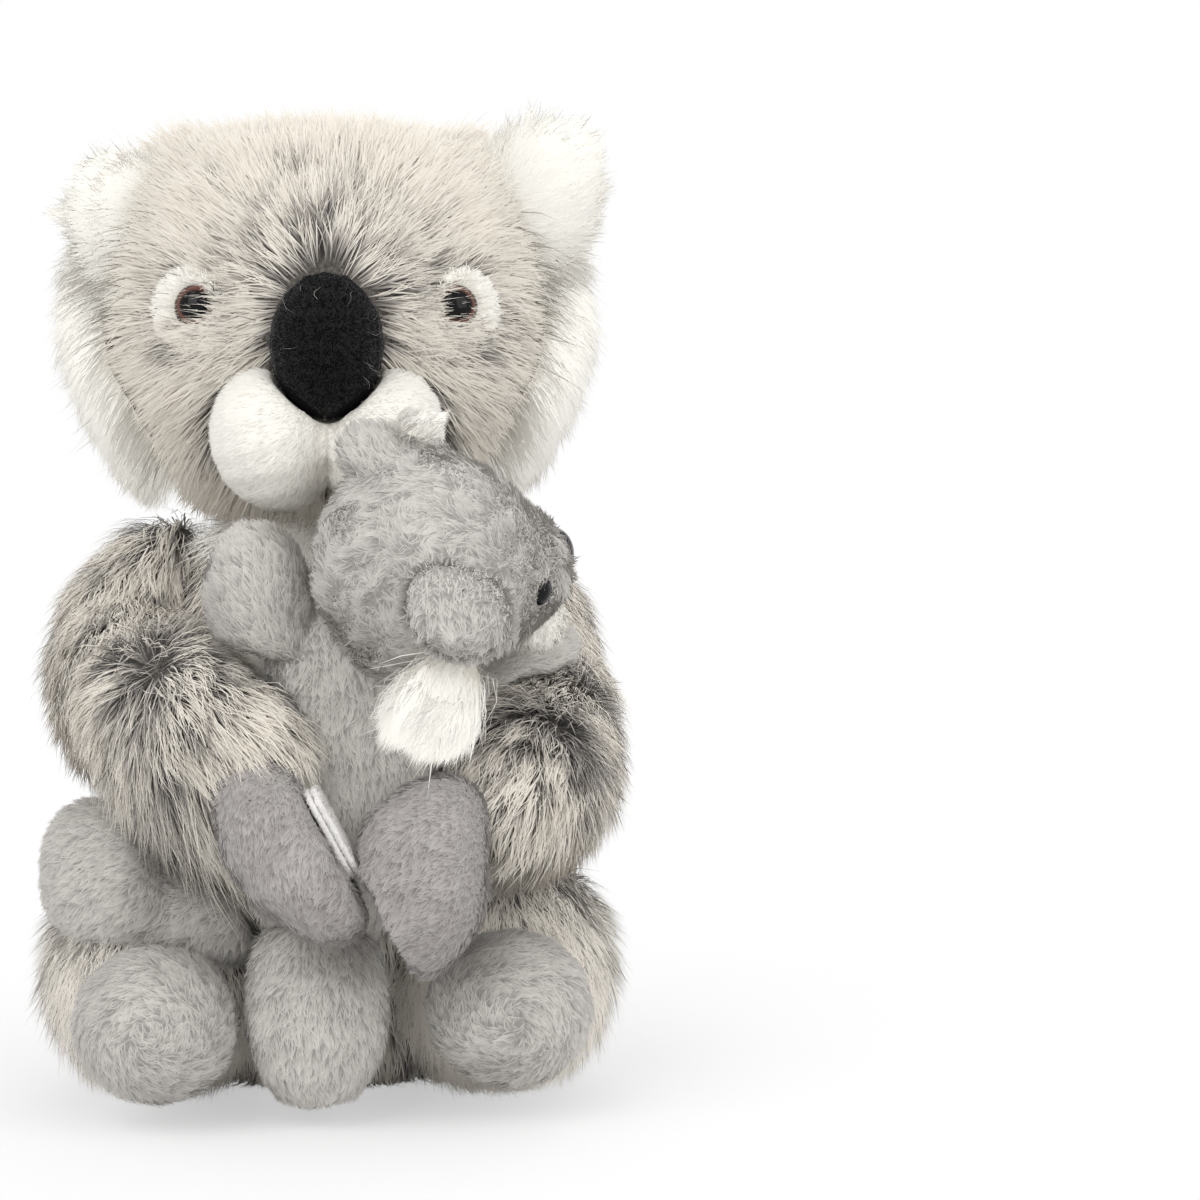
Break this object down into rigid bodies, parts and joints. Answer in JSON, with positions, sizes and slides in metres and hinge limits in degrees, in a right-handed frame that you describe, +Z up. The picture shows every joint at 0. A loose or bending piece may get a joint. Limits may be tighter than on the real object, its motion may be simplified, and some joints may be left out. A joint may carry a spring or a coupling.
{
  "type": "plush koala with baby",
  "caption": "Sitting plush koala with long frosted fur that hugs a small plush baby; its arms swing open at the shoulders and the baby lifts off forwards.",
  "frame": {"origin": "middle of the flat seat, on the surface that the toy sits on", "axes": "+Z up through the head; the toy faces -Y; +X is the toy's own left"},
  "size_m": [0.1608, 0.1835, 0.2696],
  "materials": {
    "plush_grey": "long frosted pile, charcoal at the roots and cream at the tips",
    "plush_white": "long creamy-white pile",
    "velvet_mauve": "short dense pile, mauve grey",
    "velvet_grey": "short dense pile, light grey",
    "black_felt": "needled felt",
    "black_plastic": "glossy",
    "eye_plastic": "glossy, brown iris round a black pupil",
    "washer_plastic": "matt",
    "fastener_white": "woven hook-and-loop tape",
    "filling_white": "polyester fibre filling",
    "pouch_cloth": "plain woven pouch filled with plastic pellets"
  },
  "bodies": {
    "mother": {"body_skin": "plush_grey", "seat_panel": "plush_grey", "head_skin": "plush_grey", "ear_back_left": "plush_grey", "ear_back_right": "plush_grey", "thigh_left": "plush_grey", "thigh_right": "plush_grey", "muzzle": "plush_white", "ear_lining_left": "plush_white", "ear_lining_right": "plush_white", "ruff_left": "plush_white", "ruff_right": "plush_white", "belly_panel": "plush_white", "eye_patch_left": "plush_white", "eye_patch_right": "plush_white", "foot_left": "velvet_grey", "foot_right": "velvet_grey", "nose": "black_felt", "eye_left": "eye_plastic", "eye_right": "eye_plastic", "eye_washer_left": "washer_plastic", "eye_washer_right": "washer_plastic", "body_stuffing": "filling_white", "head_stuffing": "filling_white", "pellet_pouch": "pouch_cloth"},
    "arm_left": {"arm_left": "plush_grey", "hand_left": "velvet_mauve", "palm_patch_left": "fastener_white"},
    "arm_right": {"arm_right": "plush_grey", "hand_right": "velvet_mauve", "palm_patch_right": "fastener_white"},
    "baby": {"baby_muzzle": "plush_white", "baby_ear_lining_left": "plush_white", "baby_ear_lining_right": "plush_white", "baby_head": "velvet_grey", "baby_body": "velvet_grey", "baby_arm_left": "velvet_grey", "baby_arm_right": "velvet_grey", "baby_leg_left": "velvet_grey", "baby_leg_right": "velvet_grey", "baby_ear_left": "velvet_grey", "baby_ear_right": "velvet_grey", "baby_nose": "black_plastic", "baby_eye_left": "black_plastic", "baby_eye_right": "black_plastic"}
  },
  "joints": [
    {"name": "arm_left_swing", "type": "hinge", "parent": "mother", "child": "arm_left", "pos_m": [0.05, 0.02, 0.15], "axis": [-0.15, 0, 0.9887], "range_deg": [0, 70]},
    {"name": "arm_right_swing", "type": "hinge", "parent": "mother", "child": "arm_right", "pos_m": [-0.05, 0.02, 0.15], "axis": [-0.15, 0, -0.9887], "range_deg": [0, 70]},
    {"name": "baby_lift_off", "type": "slide", "parent": "mother", "child": "baby", "axis": [0, -0.9684, 0.2496], "range_m": [0, 0.074]}
  ],
  "couplings": [
    {"joint": "arm_right_swing", "follows": "arm_left_swing", "ratio": 1},
    {"joint": "baby_lift_off", "follows": "arm_left_swing", "m_per_rad": 0.06}
  ]
}
